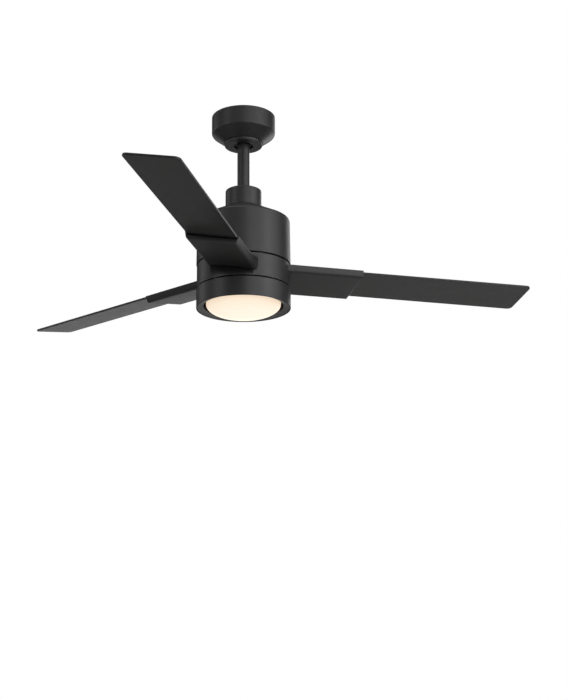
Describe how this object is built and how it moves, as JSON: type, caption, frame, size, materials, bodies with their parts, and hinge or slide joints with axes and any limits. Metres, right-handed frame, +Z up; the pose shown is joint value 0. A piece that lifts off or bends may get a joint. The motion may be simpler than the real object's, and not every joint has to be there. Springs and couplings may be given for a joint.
{
  "type": "ceiling fan with light",
  "caption": "Matte black drum ceiling fan hung on a short downrod, with flat pitched blades on wide arms and a round opal light recessed in its base.",
  "frame": {"origin": "centre of the hanger bracket's top face, which bears on the ceiling", "axes": "+Z up through the ceiling, along the fan's turning axis; +X to the right and -Y towards a viewer in front; the fan hangs below the origin"},
  "size_m": [1.1547, 1.1455, 0.464],
  "materials": {
    "black_paint": "matte black powder coat",
    "arm_paint": "die-cast aluminium in matte black powder coat",
    "blade_finish": "plywood core in smooth matte black film",
    "zinc_steel": "bright zinc plated steel",
    "black_screw": "black oxide, semi-gloss",
    "cast_aluminium": "as cast and turned",
    "bearing_steel": "ground and polished",
    "motor_laminations": "stacked silicon steel, oiled",
    "copper_winding": "enamelled copper wire",
    "ferrite_magnet": "sintered ferrite, dull",
    "black_plastic": "fine-grained moulded nylon",
    "led_board": "white solder mask",
    "opal_diffuser": "opal acrylic, lit from inside, warm white"
  },
  "bodies": {
    "ceiling_mount": {"hanger_bracket": "zinc_steel", "canopy": "black_paint", "canopy_trim_ring": "black_paint", "receiver_module": "black_plastic", "canopy_screw_1": "zinc_steel", "canopy_screw_2": "zinc_steel"},
    "hanging_frame": {"downrod": "black_paint", "coupling_cover": "black_paint", "upper_housing": "black_paint", "lower_ring": "black_paint", "light_pan": "black_paint", "ball_pin": "zinc_steel", "yoke_collar": "zinc_steel", "clevis_pin": "zinc_steel", "clevis_clip": "zinc_steel", "set_screw": "zinc_steel", "housing_screw_1": "zinc_steel", "housing_screw_2": "zinc_steel", "housing_screw_3": "zinc_steel", "motor_shaft": "zinc_steel", "light_plate": "zinc_steel", "shaft_nut": "zinc_steel", "ring_screw_1": "zinc_steel", "ring_screw_2": "zinc_steel", "ring_screw_3": "zinc_steel", "led_heatsink": "cast_aluminium", "stator_core": "motor_laminations", "stator_windings": "copper_winding", "hanger_ball": "black_plastic", "lead_sleeve": "black_plastic", "led_driver": "black_plastic", "led_board": "led_board"},
    "rotor": {"rotor_drum": "cast_aluminium", "magnet_ring": "ferrite_magnet", "upper_bearing": "bearing_steel", "lower_bearing": "bearing_steel", "rotor_cover": "cast_aluminium", "hub_band": "black_paint", "blade_arm_1": "arm_paint", "blade_arm_2": "arm_paint", "blade_arm_3": "arm_paint", "blade_1": "blade_finish", "blade_2": "blade_finish", "blade_3": "blade_finish", "blade_screw_1_1": "black_screw", "blade_screw_1_2": "black_screw", "blade_screw_1_3": "black_screw", "blade_screw_2_1": "black_screw", "blade_screw_2_2": "black_screw", "blade_screw_2_3": "black_screw", "blade_screw_3_1": "black_screw", "blade_screw_3_2": "black_screw", "blade_screw_3_3": "black_screw", "arm_screw_1_1": "zinc_steel", "arm_screw_1_2": "zinc_steel", "arm_screw_2_1": "zinc_steel", "arm_screw_2_2": "zinc_steel", "arm_screw_3_1": "zinc_steel", "arm_screw_3_2": "zinc_steel"},
    "diffuser": {"diffuser": "opal_diffuser"}
  },
  "joints": [
    {"name": "ball_tilt", "type": "hinge", "parent": "ceiling_mount", "child": "hanging_frame", "pos_m": [0, 0, -0.03624], "axis": [1, 0, 0], "range_deg": [-10, 10]},
    {"name": "rotor_spin", "type": "hinge", "parent": "hanging_frame", "child": "rotor", "pos_m": [0, 0, -0.371], "axis": [0, 0, 1], "continuous": true},
    {"name": "diffuser_twist", "type": "hinge", "parent": "hanging_frame", "child": "diffuser", "pos_m": [0, 0, -0.43], "axis": [0, 0, 1], "range_deg": [0, 25]}
  ]
}
